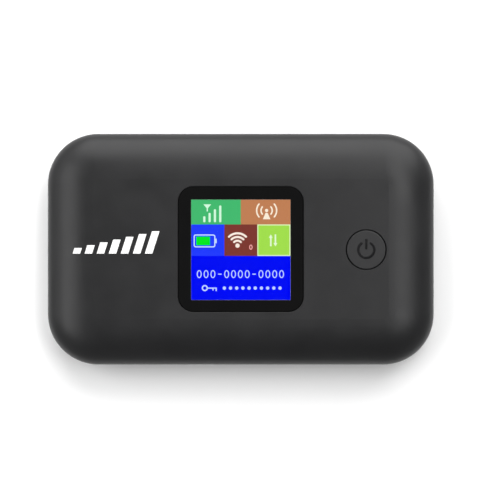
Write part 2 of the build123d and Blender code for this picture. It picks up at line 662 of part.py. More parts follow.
# ---- USB receptacle ----------------------------------------------------------------------------
usb_mouth = Plane(origin=USB_AT, x_dir=(1, 0, 0), z_dir=(0, -1, 0))
with BuildPart() as usb_shell:
    with BuildSketch(usb_mouth):
        add(usb_outline())
    extrude(amount=-USB_DEPTH)
    with BuildSketch(usb_mouth):
        add(usb_outline(-USB_WALL))
    extrude(amount=-USB_DEPTH, mode=Mode.SUBTRACT)
finish(usb_shell, "usb_shell")

usb_back_y = USB_AT[1] + USB_DEPTH
with BuildPart() as usb_insulator:
    with BuildSketch(Plane(origin=(0, usb_back_y, USB_AT[2]), x_dir=(1, 0, 0), z_dir=(0, -1, 0))):
        add(usb_outline(-USB_WALL))
    extrude(amount=USB_BLOCK_DEPTH)
    block(
        around(0, USB_TONGUE[0] / 2), (USB_AT[1] + USB_TONGUE_BACK, usb_back_y - USB_BLOCK_DEPTH),
        around(USB_TONGUE_Z, USB_TONGUE[1] / 2),
    )
finish(usb_insulator, "usb_insulator")

with BuildPart() as usb_contacts:
    tongue_middle_y = (USB_AT[1] + USB_TONGUE_BACK + usb_back_y - USB_BLOCK_DEPTH) / 2
    under_tongue_z = USB_TONGUE_Z - USB_TONGUE[1] / 2 - USB_CONTACT[2]
    with Locations((0, tongue_middle_y, under_tongue_z)):
        with GridLocations(USB_CONTACT_PITCH, 0, 5, 1):
            Box(*USB_CONTACT, align=UPRIGHT)
finish(usb_contacts, "usb_contacts")


# ---- Antennas on their carriers ----------------------------------------------------------------
def antenna(name, x_span, side, turns):
    """A plastic carrier beside the board, and the foil antenna on top of it, slotted into a meander."""
    y_span = tuple(sorted(side * y for y in CARRIER_Y))
    with BuildPart() as carrier:
        block(x_span, y_span, (FRAME_TOP_Z, CARRIER_TOP_Z))
        fillet(carrier.edges().filter_by(Axis.Z), CARRIER_R)
    finish(carrier, f"{name}_carrier")
    length = x_span[1] - x_span[0] - 2 * FOIL_INSET
    middle = (sum(x_span) / 2, sum(y_span) / 2)
    with BuildPart() as foil:
        with BuildSketch(Plane.XY.offset(CARRIER_TOP_Z)):
            with Locations(middle):
                Rectangle(length, FOIL_WIDTH)
            pitch = length / (turns + 1)
            for i in range(turns):
                x = middle[0] - length / 2 + (i + 1) * pitch
                towards = FOIL_BRIDGE if i % 2 else -FOIL_BRIDGE
                with Locations((x, middle[1] + towards)):
                    Rectangle(FOIL_SLOT, FOIL_SLOT_LENGTH, mode=Mode.SUBTRACT)
        extrude(amount=FOIL_T)
    finish(foil, name)


antenna("main_antenna", (-32.0, 32.0), 1, 12)
antenna("diversity_antenna", (-34.0, -8.0), -1, 7)
antenna("wifi_antenna", (9.0, 29.0), -1, 5)

with BuildPart() as antenna_springs:
    for x, side in ((-20.0, 1), (-24.0, -1), (22.0, -1)):
        with BuildSketch(Plane.YZ.offset(x - SPRING_WIDTH / 2)):
            with BuildLine():
                Polyline(*((side * y, BOARD_TOP_Z + z) for y, z in SPRING_LINE))
            trace(line_width=SPRING_T)
        extrude(amount=SPRING_WIDTH)
finish(antenna_springs, "antenna_springs")

# ---- SIM socket and card -----------------------------------------------------------------------
with BuildPart() as sim_shell:
    block(around(SIM_X, SIM_SOCKET_HALF), SIM_SOCKET_Y, SIM_SOCKET_Z)
    inner_x = around(SIM_X, SIM_SOCKET_HALF - SIM_SOCKET_SKIN)
    inner_z = (SIM_SOCKET_Z[0] + SIM_SOCKET_SKIN, BOARD_Z)
    block(inner_x, SIM_SOCKET_Y, inner_z, mode=Mode.SUBTRACT)
    # two spring windows in its lower sheet
    with Locations((SIM_X, sum(SIM_SOCKET_Y) / 2, SIM_SOCKET_Z[0])):
        with GridLocations(SIM_WINDOW_PITCH, 0, 2, 1):
            Box(*SIM_WINDOW, SIM_SOCKET_SKIN, align=UPRIGHT, mode=Mode.SUBTRACT)
finish(sim_shell, "sim_shell")

with BuildPart() as sim_base:
    block(inner_x, SIM_SOCKET_Y, (SIM_BASE_Z, BOARD_Z))
finish(sim_base, "sim_base")

with BuildPart() as sim_contacts:
    with Locations((SIM_X, sum(SIM_SOCKET_Y) / 2, SIM_BASE_Z - SIM_CONTACT[2])):
        with GridLocations(*SIM_CONTACT_PITCH, 3, 2):
            Box(*SIM_CONTACT, align=UPRIGHT)
finish(sim_contacts, "sim_contacts")

with BuildPart() as sim_card:
    card_low_y = SIM_SOCKET_Y[0] - SIM_PROUD
    block(
        around(SIM_X, SIM_CARD[0] / 2), (card_low_y, card_low_y + SIM_CARD[1]),
        (SIM_CARD_Z, SIM_CARD_Z + SIM_CARD[2]),
    )
    corners = sim_card.edges().filter_by(Axis.Z).sort_by(lambda edge: edge.center().X + edge.center().Y)
    chamfer(corners[-1], SIM_CARD_KEY)
    fillet(corners[:3], SIM_CARD_R)
finish(sim_card, "sim_card")

# ---- Battery and its contacts ------------------------------------------------------------------
with BuildPart() as battery_cell:
    block((BATTERY_X[0], BATTERY_CAP_X), BATTERY_Y, BATTERY_Z)
    fillet(battery_cell.edges().filter_by(Axis.X), BATTERY_EDGE_R)
    fillet(battery_cell.faces().sort_by(Axis.X)[0].edges(), BATTERY_END_R)
finish(battery_cell, "battery_cell")

terminal_z = around(TERMINAL_Z, TERMINAL[2] / 2)
pocket_x = (BATTERY_X[1] - TERMINAL[0], BATTERY_X[1])
terminal_ys = [CONTACT_Y + (i - (CONTACT_COUNT - 1) / 2) * CONTACT_PITCH for i in range(CONTACT_COUNT)]
with BuildPart() as battery_cap:
    block((BATTERY_CAP_X, BATTERY_X[1]), BATTERY_Y, BATTERY_Z)
    fillet(battery_cap.edges().filter_by(Axis.X), BATTERY_EDGE_R)
    for y in terminal_ys:
        block(pocket_x, around(y, TERMINAL[1] / 2), terminal_z, mode=Mode.SUBTRACT)
finish(battery_cap, "battery_cap")

with BuildPart() as battery_terminals:
    for y in terminal_ys:
        block((pocket_x[0], pocket_x[1] - TERMINAL_SUNK), around(y, TERMINAL[1] / 2), terminal_z)
finish(battery_terminals, "battery_terminals")

with BuildPart() as battery_label:
    with BuildSketch(Plane.XY.offset(BATTERY_Z[0] - BATTERY_LABEL_T)):
        with Locations(((BATTERY_X[0] + BATTERY_CAP_X) / 2, 0)):
            RectangleRounded(*BATTERY_LABEL)
    extrude(amount=BATTERY_LABEL_T)
finish(battery_label, "battery_label")

with BuildPart() as contact_block:
    block(CONTACT_BLOCK_X, around(CONTACT_Y, CONTACT_BLOCK_WIDTH / 2), CONTACT_BLOCK_Z)
    slot_x = (CONTACT_BLOCK_X[0], CONTACT_BLOCK_X[0] + CONTACT_SLOT[0])
    for y in terminal_ys:
        block(slot_x, around(y, CONTACT_SLOT[1] / 2), CONTACT_SLOT_Z, mode=Mode.SUBTRACT)
finish(contact_block, "contact_block")

with BuildPart() as contact_blades:
    for y in terminal_ys:
        with BuildSketch(Plane.XZ.offset(-y - BLADE_WIDTH / 2)):
            with BuildLine():
                Polyline(*BLADE_LINE)
            trace(line_width=BLADE_T)
        extrude(amount=BLADE_WIDTH)
finish(contact_blades, "contact_blades")

# ---- Fasteners ---------------------------------------------------------------------------------
with BuildPart() as case_screws:
    for centre in CASE_SCREWS:
        post(centre, SCREW_HEAD_R, SCREW_HEAD_Z)
        post(centre, SCREW_SHANK_R, (SCREW_HEAD_Z[1], SCREW_END_Z))
        cross_slot(centre, SCREW_CROSS, SCREW_HEAD_Z[0] + SCREW_CROSS[2])
finish(case_screws, "case_screws")

with BuildPart() as board_screws:
    head_top_z = BOARD_TOP_Z + BOARD_SCREW_HEAD
    for centre in BOARD_SCREWS:
        post(centre, BOARD_SCREW_HEAD_R, (BOARD_TOP_Z, head_top_z))
        post(centre, BOARD_SCREW_R, (BOARD_SCREW_END_Z, BOARD_TOP_Z))
        cross_slot(centre, BOARD_SCREW_CROSS, head_top_z)
finish(board_screws, "board_screws")
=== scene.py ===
"""The looks of a pocket mobile hotspot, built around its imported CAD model.

Everything is in metres, in the frame of the CAD model: the device lies on its back on the floor, +X along its
long side towards the power button, +Y towards the top of its display, +Z out of its face.
"""

import json
import math

import bpy
from mathutils import Matrix, Vector
from mathutils.bvhtree import BVHTree


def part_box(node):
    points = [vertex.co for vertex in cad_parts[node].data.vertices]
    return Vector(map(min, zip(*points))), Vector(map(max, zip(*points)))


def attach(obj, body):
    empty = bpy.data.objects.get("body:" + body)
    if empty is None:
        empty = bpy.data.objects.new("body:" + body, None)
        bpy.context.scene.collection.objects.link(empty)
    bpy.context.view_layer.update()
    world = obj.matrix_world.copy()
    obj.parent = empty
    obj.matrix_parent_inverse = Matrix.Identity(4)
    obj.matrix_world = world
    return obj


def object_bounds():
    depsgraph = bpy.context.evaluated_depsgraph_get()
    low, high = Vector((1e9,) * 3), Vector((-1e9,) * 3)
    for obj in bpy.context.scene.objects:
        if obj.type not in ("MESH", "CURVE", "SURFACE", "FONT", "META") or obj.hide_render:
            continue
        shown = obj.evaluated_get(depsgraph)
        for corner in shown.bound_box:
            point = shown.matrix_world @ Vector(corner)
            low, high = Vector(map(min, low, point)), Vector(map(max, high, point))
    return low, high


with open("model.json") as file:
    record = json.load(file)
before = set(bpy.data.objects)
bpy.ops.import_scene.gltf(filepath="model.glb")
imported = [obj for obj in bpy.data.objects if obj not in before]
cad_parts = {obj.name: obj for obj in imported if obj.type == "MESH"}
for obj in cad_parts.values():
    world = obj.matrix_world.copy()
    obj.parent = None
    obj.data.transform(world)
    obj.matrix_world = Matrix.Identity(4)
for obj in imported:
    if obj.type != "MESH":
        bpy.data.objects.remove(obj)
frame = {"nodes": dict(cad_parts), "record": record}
cad_low, cad_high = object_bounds()

MM = 0.001
scene = bpy.context.scene
nodes = frame["nodes"]

# ---- Camera ------------------------------------------------------------------------------------
# Square on to the face from high above, so that it shows almost no perspective.
FRAME_WIDTH = 120.9 * MM  # what the picture spans, at the height of the case's outline
CASE_SHIFT = (0.2 * MM, -2.3 * MM)  # where the middle of the case lies from the middle of the picture
CAMERA_HEIGHT = 1.1
CAMERA_REACH = 20

centre = (cad_low + cad_high) / 2
camera_data = bpy.data.cameras.new("camera")
camera_data.lens = camera_data.sensor_width * CAMERA_HEIGHT / FRAME_WIDTH
camera_data.clip_end = CAMERA_REACH
camera = bpy.data.objects.new("camera", camera_data)
camera.location = (centre.x - CASE_SHIFT[0], centre.y - CASE_SHIFT[1], centre.z + CAMERA_HEIGHT)
scene.collection.objects.link(camera)
scene.camera = camera
scene.view_settings.view_transform = "Standard"


# ---- Studio ------------------------------------------------------------------------------------
def softbox(name, direction, distance, size, power):
    """An area light that faces the device from a direction (x, y, z). Its size is across, then up and down."""
    lamp = bpy.data.lights.new(name, "AREA")
    lamp.shape = "RECTANGLE"
    lamp.size, lamp.size_y = size
    lamp.energy = power
    light = bpy.data.objects.new(name, lamp)
    towards = Vector(direction).normalized()
    light.location = centre + towards * distance
    light.rotation_euler = towards.to_track_quat("Z", "Y").to_euler()
    scene.collection.objects.link(light)


softbox("top_softbox", (0.22, 1.0, 0.70), 0.9, (1.3, 0.84), 13.2)
softbox("left_strip", (-0.63, 0.0, 0.82), 0.8, (0.7, 0.36), 3.1)
softbox("left_fill", (-0.85, 0.45, 0.5), 0.8, (1.15, 0.4), 1.5)
softbox("right_strip", (0.33, 0.12, 0.94), 0.8, (0.6, 0.3), 2.5)

HORIZON_GLOW, HORIZON_END = 0.55, 0.1  # how bright the room is near the horizon, and up to what height
OVERHEAD_GLOW, OVERHEAD_START = 0.05, 0.85  # the same overhead, and from what height
world = bpy.data.worlds.new("studio")
world.use_nodes = True
sky = world.node_tree
around = sky.nodes.new("ShaderNodeTexCoord")
split = sky.nodes.new("ShaderNodeSeparateXYZ")
fade = sky.nodes.new("ShaderNodeMapRange")
fade.interpolation_type = "SMOOTHSTEP"
for socket, number in (
    ("From Min", HORIZON_END),
    ("From Max", OVERHEAD_START),
    ("To Min", HORIZON_GLOW),
    ("To Max", OVERHEAD_GLOW),
):
    fade.inputs[socket].default_value = number
sky.links.new(around.outputs["Generated"], split.inputs["Vector"])
sky.links.new(split.outputs["Z"], fade.inputs["Value"])
sky.links.new(fade.outputs["Result"], sky.nodes["Background"].inputs["Strength"])
sky.nodes["Background"].inputs["Color"].default_value = (1, 1, 1, 1)
scene.world = world


# ---- Procedural materials ----------------------------------------------------------------------
def rgb(red, green, blue):
    """A colour given as 0 to 255 screen values, as the linear colour that a shader takes."""

    def linear(value):
        value /= 255
        return value / 12.92 if value <= 0.04045 else ((value + 0.055) / 1.055) ** 2.4

    return (linear(red), linear(green), linear(blue), 1)


def scaled(colour, by):
    """A colour made brighter or darker."""
    return tuple(min(1.0, part * by) for part in colour[:3]) + (1,)


class Surface:
    """A node material around one Principled shader, patterned in the model's own coordinates."""

    def __init__(self, name, **constants):
        self.material = bpy.data.materials.new(name)
        self.material.use_nodes = True
        self.tree = self.material.node_tree
        self.shader = self.tree.nodes["Principled BSDF"]
        self.place = self.add("ShaderNodeTexCoord").outputs["Object"]
        self.normal = None
        for socket, value in constants.items():
            self.shader.inputs[socket.replace("_", " ")].default_value = value

    def add(self, kind, **settings):
        """A new node with these settings."""
        node = self.tree.nodes.new(kind)
        for key, value in settings.items():
            setattr(node, key, value)
        return node

    def link(self, output, target):
        self.tree.links.new(output, target)

    def noise(self, size_mm, detail=2.0, stretch=(1, 1, 1)):
        """Soft noise from 0 to 1, whose blotches are about size_mm across."""
        mapping = self.add("ShaderNodeMapping")
        mapping.inputs["Scale"].default_value = stretch
        texture = self.add("ShaderNodeTexNoise")
        texture.inputs["Scale"].default_value = 1 / (size_mm * MM)
        texture.inputs["Detail"].default_value = detail
        self.link(self.place, mapping.inputs["Vector"])
        self.link(mapping.outputs["Vector"], texture.inputs["Vector"])
        return texture.outputs["Fac"]

    def cell_edges(self, size_mm):
        """The distance to the nearest edge between irregular cells about size_mm across."""
        texture = self.add("ShaderNodeTexVoronoi", feature="DISTANCE_TO_EDGE")
        texture.inputs["Scale"].default_value = 1 / (size_mm * MM)
        self.link(self.place, texture.inputs["Vector"])
        return texture.outputs["Distance"]

    def axis(self, name):
        """One coordinate of the place, in metres."""
        split = self.add("ShaderNodeSeparateXYZ")
        self.link(self.place, split.inputs["Vector"])
        return split.outputs[name]

    def remap(self, value, low, high, start=0.3, end=0.7):
        """value from start..end stretched to low..high. Noise stays mostly between the default ends."""
        node = self.add("ShaderNodeMapRange")
        self.link(value, node.inputs["Value"])
        for socket, number in zip(("From Min", "From Max", "To Min", "To Max"), (start, end, low, high)):
            node.inputs[socket].default_value = number
        return node.outputs["Result"]

    def math(self, operation, first, second):
        """The result of an operation on two values, each a number or another node's output."""
        node = self.add("ShaderNodeMath", operation=operation)
        for socket, value in zip(node.inputs, (first, second)):
            if isinstance(value, (int, float)):
                socket.default_value = value
            else:
                self.link(value, socket)
        return node.outputs["Value"]

    def mix(self, factor, first, second):
        """A colour between two colours, each a colour or another node's output."""
        node = self.add("ShaderNodeMix", data_type="RGBA")
        self.link(factor, node.inputs[0])
        for socket, value in ((node.inputs[6], first), (node.inputs[7], second)):
            if isinstance(value, tuple):
                socket.default_value = value
            else:
                self.link(value, socket)
        return node.outputs[2]

    def set(self, socket, output):
        """Drives one of the shader's sockets by a node's output."""
        self.link(output, self.shader.inputs[socket])

    def bump(self, height, depth_mm):
        """Raises the surface by height times depth_mm, on top of the bumps it already has."""
        node = self.add("ShaderNodeBump")
        node.inputs["Distance"].default_value = depth_mm * MM
        self.link(height, node.inputs["Height"])
        if self.normal is not None:
            self.link(self.normal, node.inputs["Normal"])
        self.normal = node.outputs["Normal"]
        self.set("Normal", self.normal)


# Plastic
BLOTCH_MM = 9.0
SPECK_SHADE, SPECK_SHARE = 0.8, 0.5  # how dark the specks of the grain are, and how much they count
GLOSS_SPREAD = 0.04  # how far the roughness wanders to either side

# Metal
STREAK_MM = 2.0
STREAK_SHADES = (0.85, 1.05)
STREAK_GLOSS = (-0.06, 0.08)  # how much rougher the two ends of a streak are
STREAK_DEPTH = 0.003
STAIN_MM = 6.0
STAIN_SHADE, STAIN_SHARE = 0.7, 0.35  # how dark the stains are, and how much they count


def plastic(name, colour, roughness, grain_mm=0.3, grain_depth=0.004, blotch=0.08, **constants):
    """Moulded plastic: a little blotchy in colour and gloss, with a fine spark-eroded grain."""
    surface = Surface(name, **constants)
    blotches = surface.noise(BLOTCH_MM, detail=3.0)
    specks = surface.noise(grain_mm, detail=1.0)
    body = surface.mix(surface.remap(blotches, 0, 1), scaled(colour, 1 - blotch), scaled(colour, 1 + blotch))
    speckled = surface.mix(surface.remap(specks, 0, SPECK_SHARE), body, scaled(colour, SPECK_SHADE))
    surface.set("Base Color", speckled)
    surface.set("Roughness", surface.remap(blotches, roughness - GLOSS_SPREAD, roughness + GLOSS_SPREAD))
    surface.bump(specks, grain_depth)
    return surface


def metal(name, colour, roughness, streak=(1, 12, 1)):
    """Rolled or plated sheet: streaked gloss and colour along one direction."""
    surface = Surface(name, Metallic=1.0)
    streaks = surface.noise(STREAK_MM, detail=4.0, stretch=streak)
    stains = surface.noise(STAIN_MM)
    body = surface.mix(surface.remap(streaks, 0, 1), *(scaled(colour, shade) for shade in STREAK_SHADES))
    stained = surface.mix(surface.remap(stains, 0, STAIN_SHARE), body, scaled(colour, STAIN_SHADE))
    surface.set("Base Color", stained)
    surface.set("Roughness", surface.remap(streaks, *(roughness + change for change in STREAK_GLOSS)))
    surface.bump(streaks, STREAK_DEPTH)
    return surface


CHARCOAL = rgb(29, 29, 30)

SURFACES = {
    "case_plastic": plastic(
        "case_charcoal", CHARCOAL, 0.37, grain_mm=0.26, grain_depth=0.008, blotch=0.05, Specular_IOR_Level=0.3
    ),
    "button_plastic": plastic(
        "button_charcoal", CHARCOAL, 0.4, grain_mm=0.22, grain_depth=0.003, blotch=0.04, Specular_IOR_Level=0.35
    ),
    "icon_gloss": plastic(
        "icon_gloss", rgb(21, 21, 22), 0.14, grain_mm=0.8, grain_depth=0.004, Specular_IOR_Level=0.35
    ),
    "frame_plastic": plastic("frame_black", rgb(42, 42, 44), 0.5, grain_mm=0.4, grain_depth=0.008),
    "black_tape": plastic("border_black", rgb(24, 24, 24), 0.3, grain_mm=0.5, grain_depth=0.001),
    "foam": plastic("foam_black", rgb(36, 36, 36), 0.85, grain_mm=0.25, grain_depth=0.03),
    "backlight": plastic("backlight_white", rgb(225, 225, 222), 0.4, grain_mm=0.6, grain_depth=0.003),
    "flex": plastic("flex_amber", rgb(176, 104, 34), 0.28, grain_mm=0.5, grain_depth=0.004),
    "connector_plastic": plastic("connector_black", rgb(34, 34, 35), 0.45, grain_mm=0.2, grain_depth=0.004),
    "plunger_plastic": plastic("plunger_ivory", rgb(206, 200, 186), 0.4, grain_mm=0.2, grain_depth=0.003),
    "reset_plastic": plastic("reset_grey", rgb(150, 150, 150), 0.4, grain_mm=0.2, grain_depth=0.003),
    "chip_epoxy": plastic("chip_epoxy", rgb(44, 44, 46), 0.55, grain_mm=0.12, grain_depth=0.006),
    "thermal_pad": plastic("pad_blue_grey", rgb(150, 160, 172), 0.7, grain_mm=0.3, grain_depth=0.02),
    "inductor": plastic("ferrite", rgb(70, 70, 72), 0.6, grain_mm=0.15, grain_depth=0.01),
    "capacitor": plastic("ceramic_tan", rgb(176, 148, 112), 0.4, grain_mm=0.2, grain_depth=0.004),
    "battery_cap": plastic("battery_cap", rgb(38, 38, 39), 0.45, grain_mm=0.3, grain_depth=0.006),
    "label": plastic("label_film", rgb(222, 222, 218), 0.35, grain_mm=0.5, grain_depth=0.003),
    "sim_plastic": plastic("card_white", rgb(232, 232, 230), 0.35, grain_mm=0.4, grain_depth=0.002),
    "shield_steel": metal("tinned_steel", rgb(196, 196, 192), 0.32),
    "gold": metal("gold_plate", rgb(232, 190, 108), 0.25),
    "screw_steel": metal("black_zinc", rgb(96, 96, 98), 0.38, streak=(1, 1, 1)),
    "antenna_foil": metal("copper_foil", rgb(214, 140, 92), 0.35),
}

# The circuit board
TRACE_CELL_MM = 2.4
TRACE_EDGE = (0.04, 0.08)  # how wide a trace is and where it has faded out, as shares of a cell


def board_surface():
    """Green solder mask over copper traces, which show as slightly paler raised lines."""
    surface = Surface("solder_mask", Coat_Weight=0.4, Coat_Roughness=0.2)
    mask, copper = rgb(24, 84, 48), rgb(52, 118, 70)
    on_trace = surface.remap(surface.cell_edges(TRACE_CELL_MM), 1, 0, *TRACE_EDGE)
    mottled = surface.mix(surface.remap(surface.noise(5.0), 0, 1), scaled(mask, 0.9), scaled(mask, 1.1))
    surface.set("Base Color", surface.mix(on_trace, mottled, copper))
    surface.set("Roughness", surface.remap(surface.noise(1.5), 0.32, 0.42))
    surface.bump(on_trace, 0.02)
    return surface


def wrap_surface():
    """The battery's thin printed wrap over its can: satin grey with faint dents."""
    surface = Surface("battery_wrap", Metallic=0.35)
    grey = rgb(104, 106, 110)
    blotches = surface.noise(7.0, detail=3.0)
    mottled = surface.mix(surface.remap(blotches, 0, 1), scaled(grey, 0.92), scaled(grey, 1.08))
    surface.set("Base Color", mottled)
    surface.set("Roughness", surface.remap(surface.noise(2.5, detail=3.0), 0.34, 0.46))
    surface.bump(surface.noise(11.0), 0.05)
    surface.bump(surface.noise(0.4), 0.003)
    return surface


# The window and the lit picture
LIT_SIZE = (24.85, 25.1)  # mm
LIT_DROP = 0.15  # how far the picture sits under the middle of the window, mm
PRINT_EDGE = 0.03  # how softly the window's printed border ends, mm


def lens_surface():
    """The window: polished acrylic with the faint smears of fingers, printed black around its clear middle."""
    surface = Surface("window_acrylic", IOR=1.12, Specular_IOR_Level=0.5)
    from_middle = surface.axis("X"), surface.math("ADD", surface.axis("Y"), LIT_DROP * MM)
    past_x, past_y = (
        surface.math("SUBTRACT", surface.math("ABSOLUTE", along, 0), side * MM / 2)
        for along, side in zip(from_middle, LIT_SIZE)
    )
    border = surface.remap(surface.math("MAXIMUM", past_x, past_y), 0, 1, 0, PRINT_EDGE * MM)
    surface.set("Transmission Weight", surface.math("SUBTRACT", 1, border))
    smears = surface.noise(3.5, detail=5.0, stretch=(1.6, 0.7, 1))
    clear = surface.mix(smears, (0.97, 0.97, 0.97, 1), (1, 1, 1, 1))
    print_black = surface.mix(surface.noise(7.0), rgb(15, 15, 15), rgb(18, 18, 18))
    surface.set("Base Color", surface.mix(border, clear, print_black))
    surface.set("Roughness", surface.remap(smears, 0.0, 0.03, 0.45, 0.7))
    surface.bump(surface.noise(6.0), 0.0015)
    return surface


def panel_surface():
    """The display panel's own glass: black between and around its lit picture."""
    surface = Surface("panel_black")
    black = rgb(20, 20, 24)
    surface.set("Base Color", surface.mix(surface.noise(4.0), scaled(black, 0.8), scaled(black, 1.2)))
    surface.set("Roughness", surface.remap(surface.noise(2.0), 0.1, 0.18))
    surface.bump(surface.noise(0.2), 0.0005)
    return surface


SURFACES["board"] = board_surface()
SURFACES["battery_can"] = wrap_surface()
SURFACES["lens"] = lens_surface()
SURFACES["display"] = panel_surface()

for subpart in frame["record"]["subparts"]:
    node = nodes[subpart["node"]]
    node.data.materials.clear()
    node.data.materials.append(SURFACES[subpart["material_slot"]].material)


# ---- Flat shapes for prints and for the lit picture ---------------------------------------------
def arc(cx, cy, radius, start, end, steps=24):
    """Points along a circular arc, from start to end degrees."""
    return [
        (
            cx + radius * math.cos(math.radians(start + (end - start) * i / steps)),
            cy + radius * math.sin(math.radians(start + (end - start) * i / steps)),
        )
        for i in range(steps + 1)
    ]


def disc(cx, cy, radius):
    """A circle."""
    return arc(cx, cy, radius, 0, 360)[:-1]


def oval(cx, cy, half_x, half_y, steps=28):
    """An upright ellipse."""
    return [
        (cx + half_x * math.cos(math.tau * i / steps), cy + half_y * math.sin(math.tau * i / steps))
        for i in range(steps)
    ]


def rounded(x0, y0, x1, y1, radius):
    """A rectangle with rounded corners."""
    corners = ((x1, y1, 0), (x0, y1, 90), (x0, y0, 180), (x1, y0, 270))
    points = []
    for x, y, turn in corners:
        cx = x - radius if x == x1 else x + radius
        cy = y - radius if y == y1 else y + radius
        points += arc(cx, cy, radius, turn, turn + 90, 6)
    return points


def band(cx, cy, radius, width, start, end):
    """A thick arc with rounded ends."""
    half = width / 2

    def tip(angle):
        return cx + radius * math.cos(math.radians(angle)), cy + radius * math.sin(math.radians(angle))

    return (
        arc(cx, cy, radius + half, start, end)
        + arc(*tip(end), half, end, end + 180, 8)[1:-1]
        + arc(cx, cy, radius - half, end, start)
        + arc(*tip(start), half, start + 180, start + 360, 8)[1:-1]
    )


def flat_mesh(name, loops, thickness_mm):
    """A plate with these outlines, in mm, from z = 0 up. An outline inside another one is a hole."""
    curve = bpy.data.curves.new(name, "CURVE")
    curve.dimensions = "2D"
    curve.fill_mode = "BOTH"
    curve.extrude = thickness_mm / 2
    for loop in loops:
        spline = curve.splines.new("POLY")
        spline.points.add(len(loop) - 1)
        for point, (x, y) in zip(spline.points, loop):
            point.co = (x, y, 0, 1)
        spline.use_cyclic_u = True
    outline = bpy.data.objects.new(name, curve)
    scene.collection.objects.link(outline)
    depsgraph = bpy.context.evaluated_depsgraph_get()
    mesh = bpy.data.meshes.new_from_object(outline.evaluated_get(depsgraph))
    bpy.data.objects.remove(outline)
    for vertex in mesh.vertices:
        vertex.co.z += thickness_mm / 2
        vertex.co *= MM
    mesh.name = name
    return mesh


def piece(name, mesh, surface, body, at=(0, 0, 0)):
    """A finished mesh as a piece that rides on a body."""
    mesh.transform(Matrix.Translation(Vector(at)))
    mesh.materials.clear()
    mesh.materials.append(surface.material)
    item = bpy.data.objects.new(name, mesh)
    scene.collection.objects.link(item)
    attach(item, body)


# ---- The lit picture ---------------------------------------------------------------------------
# All places in the picture are in mm from its upper left corner, x to the right and y down.
PICTURE_T = 0.02
PIXEL = 0.2 * MM
GRID_SHADE = 0.92  # how bright the picture is on the lines between its pixels
PANEL_DARK = (0.002, 0.002, 0.002, 1)

panel_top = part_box("lcd_glass")[1].z
picture_origin = (-LIT_SIZE[0] / 2, LIT_SIZE[1] / 2 - LIT_DROP)


def lit(name, colour):
    """Part of the lit picture: it glows behind a fine dark grid."""
    surface = Surface(name, Emission_Strength=1.0, Specular_IOR_Level=0.0, Base_Color=PANEL_DARK)
    column = surface.math("PINGPONG", surface.axis("X"), PIXEL / 2)
    grid = surface.remap(column, GRID_SHADE, 1.0, 0.0, PIXEL / 6)
    surface.set("Emission Color", surface.mix(grid, (0, 0, 0, 1), colour))
    surface.set("Roughness", surface.remap(surface.noise(1.0), 0.4, 0.5))
    return surface


def patch(name, loops, colour, level):
    """Part of the lit picture with these outlines, level thin layers above the panel."""
    placed = [[(picture_origin[0] + x, picture_origin[1] - y) for x, y in loop] for loop in loops]
    mesh = flat_mesh(name, placed, PICTURE_T)
    piece(name, mesh, lit(name, colour), "housing", (0, 0, panel_top + level * PICTURE_T * MM))


def tile(x0, y0, x1, y1):
    """A rectangle."""
    return [(x0, y0), (x1, y0), (x1, y1), (x0, y1)]


WIDE, TALL = LIT_SIZE
HALF = WIDE / 2
THIRD = WIDE / 3
ROW_1 = 6.2  # where the first row of tiles ends
ROW_2 = 14.1  # where the second one ends

for name, corners, colour in (
    ("tile_signal", (0, 0, HALF, ROW_1), rgb(69, 188, 113)),
    ("tile_mast", (HALF, 0, WIDE, ROW_1), rgb(194, 129, 87)),
    ("tile_battery", (0, ROW_1, THIRD, ROW_2), rgb(33, 60, 255)),
    ("tile_clients", (THIRD, ROW_1, 2 * THIRD, ROW_2), rgb(126, 58, 50)),
    ("tile_traffic", (2 * THIRD, ROW_1, WIDE, ROW_2), rgb(164, 226, 79)),
    ("tile_network", (0, ROW_2, WIDE, TALL), rgb(0, 10, 250)),
):
    patch(name, [tile(*corners)], colour, 0)

# signal bars, with a small aerial over the short ones
BARS_X = 3.0
BARS_FOOT = 5.65
BAR_HEIGHTS = (1.5, 2.35, 3.25, 4.2)
BAR_W = 0.56
BAR_PITCH = 1.33
BAR_R = 0.2
AERIAL_X = 4.025
AERIAL_Y = (1.15, 2.15, 2.95)  # the top of its funnel, the end of it and the foot of its stem
AERIAL_HALF = (0.975, 0.155)  # of the funnel and of the stem

bars = []
for i, bar_height in enumerate(BAR_HEIGHTS):
    bar_x = BARS_X + i * BAR_PITCH
    bars.append(rounded(bar_x, BARS_FOOT - bar_height, bar_x + BAR_W, BARS_FOOT, BAR_R))
aerial = [
    (AERIAL_X - AERIAL_HALF[0], AERIAL_Y[0]), (AERIAL_X + AERIAL_HALF[0], AERIAL_Y[0]),
    (AERIAL_X + AERIAL_HALF[1], AERIAL_Y[1]), (AERIAL_X + AERIAL_HALF[1], AERIAL_Y[2]),
    (AERIAL_X - AERIAL_HALF[1], AERIAL_Y[2]), (AERIAL_X - AERIAL_HALF[1], AERIAL_Y[1]),
]
patch("glyph_signal", bars + [aerial], rgb(214, 255, 226), 1)

# a mast sending to both sides
MAST = (18.9, 2.7)
MAST_R = 0.42
MAST_Y = (3.3, 4.9)  # the top and the foot of its tower
MAST_HALF = (0.25, 0.95)
MAST_WAVES = (1.4, 2.5)
MAST_WAVE_W = 0.38
MAST_WAVE_TURN = 40

tower = [
    (MAST[0] - MAST_HALF[0], MAST_Y[0]), (MAST[0] + MAST_HALF[0], MAST_Y[0]),
    (MAST[0] + MAST_HALF[1], MAST_Y[1]), (MAST[0] - MAST_HALF[1], MAST_Y[1]),
]
waves = [
    band(*MAST, radius, MAST_WAVE_W, side - MAST_WAVE_TURN, side + MAST_WAVE_TURN)
    for radius in MAST_WAVES
    for side in (0, 180)
]
patch("glyph_mast", [tower, disc(*MAST, MAST_R)] + waves, rgb(255, 240, 218), 1)

